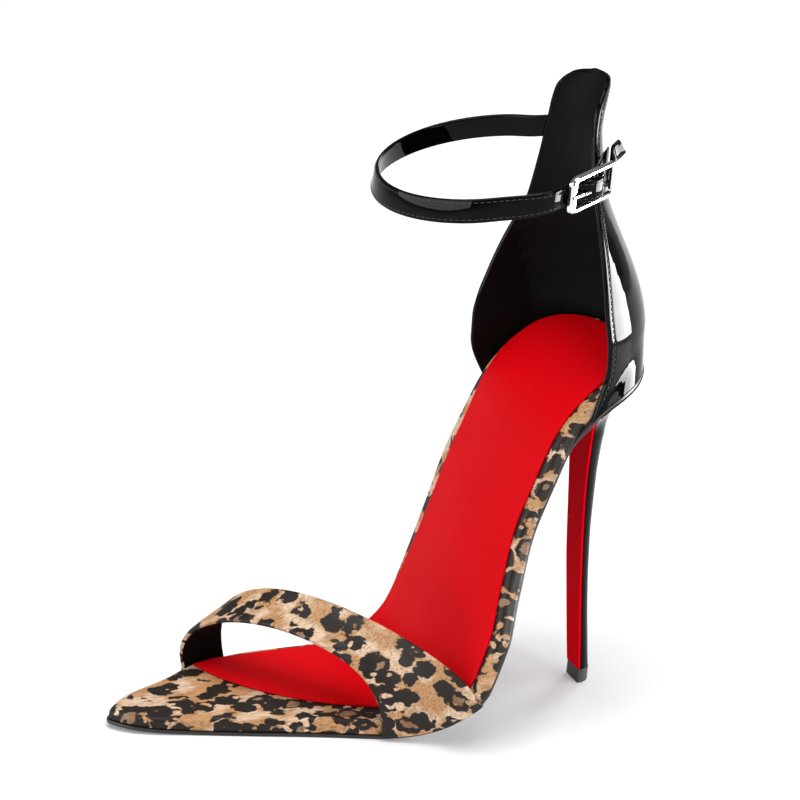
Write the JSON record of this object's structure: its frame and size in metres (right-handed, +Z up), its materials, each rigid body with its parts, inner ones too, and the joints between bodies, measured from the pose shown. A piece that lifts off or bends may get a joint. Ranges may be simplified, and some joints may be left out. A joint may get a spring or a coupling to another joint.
{
  "type": "high heel sandal",
  "caption": "Left high heel sandal with a pointed toe, diagonal toe strap, closed counter with a tall tab, buckled ankle strap and stiletto heel.",
  "frame": {"origin": "on the floor, at the middle of the heel tip's underside", "axes": "+Z up; the toe points to -Y; the outer side, with the buckle, is +X"},
  "size_m": [0.0808, 0.173, 0.2116],
  "materials": {
    "outsole": "dark sole leather, satin",
    "leopard": "short-hair leather with a leopard print",
    "red_lining": "smooth red lining leather, satin",
    "patent": "black patent leather, high gloss",
    "red_lacquer": "red lacquer",
    "heel_rubber": "black heel tip",
    "steel": "polished silver plate"
  },
  "bodies": {
    "root": {"outsole": "outsole", "footbed": "leopard", "sock_lining": "red_lining", "toe_strap": "leopard", "counter": "patent", "ankle_strap": "patent", "buckle_strap": "patent", "buckle_frame": "steel", "buckle_prong": "steel", "heel": "patent", "heel_breast": "red_lacquer", "heel_tip": "heel_rubber"}
  },
  "joints": []
}
